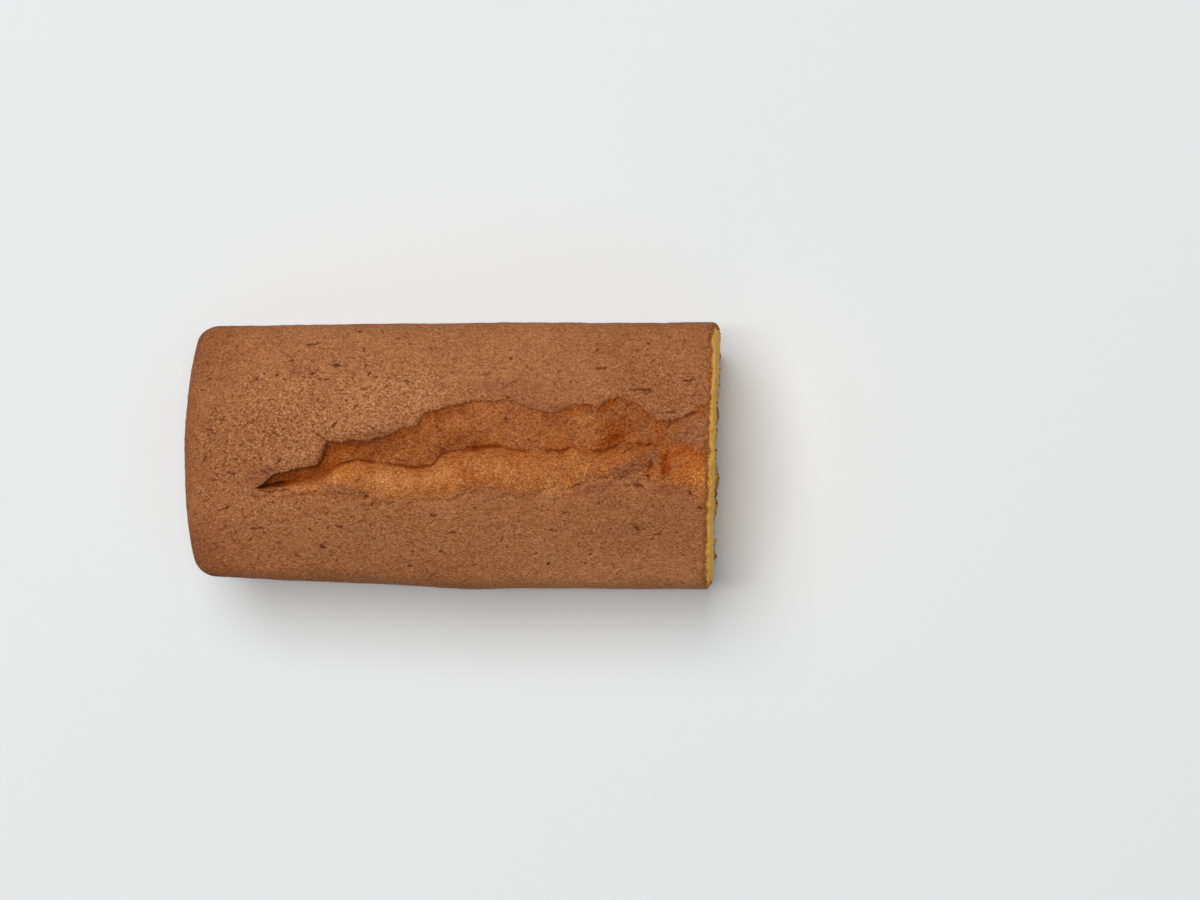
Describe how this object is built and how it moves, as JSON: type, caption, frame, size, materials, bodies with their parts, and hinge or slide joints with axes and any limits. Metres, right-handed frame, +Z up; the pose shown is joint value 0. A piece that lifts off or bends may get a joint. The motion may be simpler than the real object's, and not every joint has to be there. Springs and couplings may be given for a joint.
{
  "type": "loaf cake",
  "caption": "Golden yogurt loaf cake with a domed, split brown crust, its end sliced off to show a fine yellow crumb.",
  "frame": {"origin": "middle of the loaf's box, on the surface it stands on", "axes": "+X along the loaf towards its cut end, +Y across it, +Z up"},
  "size_m": [0.2032, 0.1002, 0.0665],
  "materials": {
    "crust": "matte, fine sandy baked crust",
    "crumb": "matte, fine-pored yellow crumb"
  },
  "bodies": {
    "root": {"cake": "crust"}
  },
  "joints": []
}
